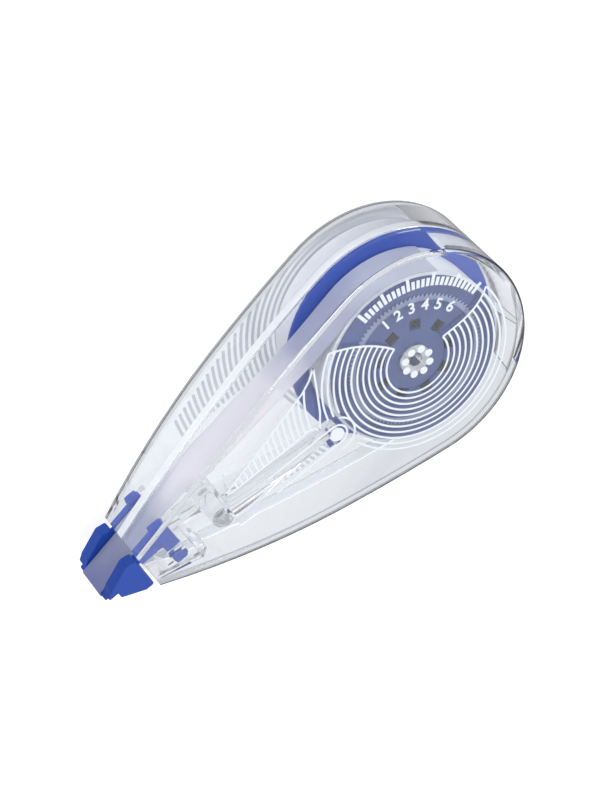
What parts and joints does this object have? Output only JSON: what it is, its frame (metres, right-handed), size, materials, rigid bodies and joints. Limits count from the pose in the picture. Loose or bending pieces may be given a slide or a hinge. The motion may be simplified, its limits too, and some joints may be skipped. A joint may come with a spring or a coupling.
{
  "type": "correction tape roller",
  "caption": "Small drop-shaped correction tape roller: clear case in two shells, coaxial supply and take-up reels, tape strands and a coloured wedge tip.",
  "frame": {"origin": "on the flat outer back face, where the reel axle's axis meets it", "axes": "+X along the case to the tip, +Z out of the printed front face, +Y across the case to the side where the used liner runs back"},
  "size_m": [0.0628, 0.0304, 0.0134],
  "materials": {
    "clear_case": "clear polished polystyrene",
    "blue_plastic": "moulded, semi-gloss",
    "correction_tape": "smooth coated film",
    "used_liner": "thin glassine film",
    "clutch_rubber": "soft matte"
  },
  "bodies": {
    "case": {"back_case": "clear_case", "front_case": "clear_case", "tip_head": "blue_plastic", "tape_strand": "correction_tape", "liner_strand": "used_liner"},
    "supply_reel": {"supply_spool": "blue_plastic", "tape_roll": "correction_tape"},
    "takeup_reel": {"takeup_drum": "blue_plastic", "clutch_ring": "clutch_rubber", "liner_coil": "used_liner"}
  },
  "joints": [
    {"name": "supply_spin", "type": "hinge", "parent": "case", "child": "supply_reel", "pos_m": [0, 0, 0], "axis": [0, 0, 1], "continuous": true},
    {"name": "takeup_spin", "type": "hinge", "parent": "case", "child": "takeup_reel", "pos_m": [0, 0, 0], "axis": [0, 0, 1], "continuous": true}
  ],
  "couplings": [
    {"joint": "takeup_spin", "follows": "supply_spin", "ratio": 0.925}
  ]
}
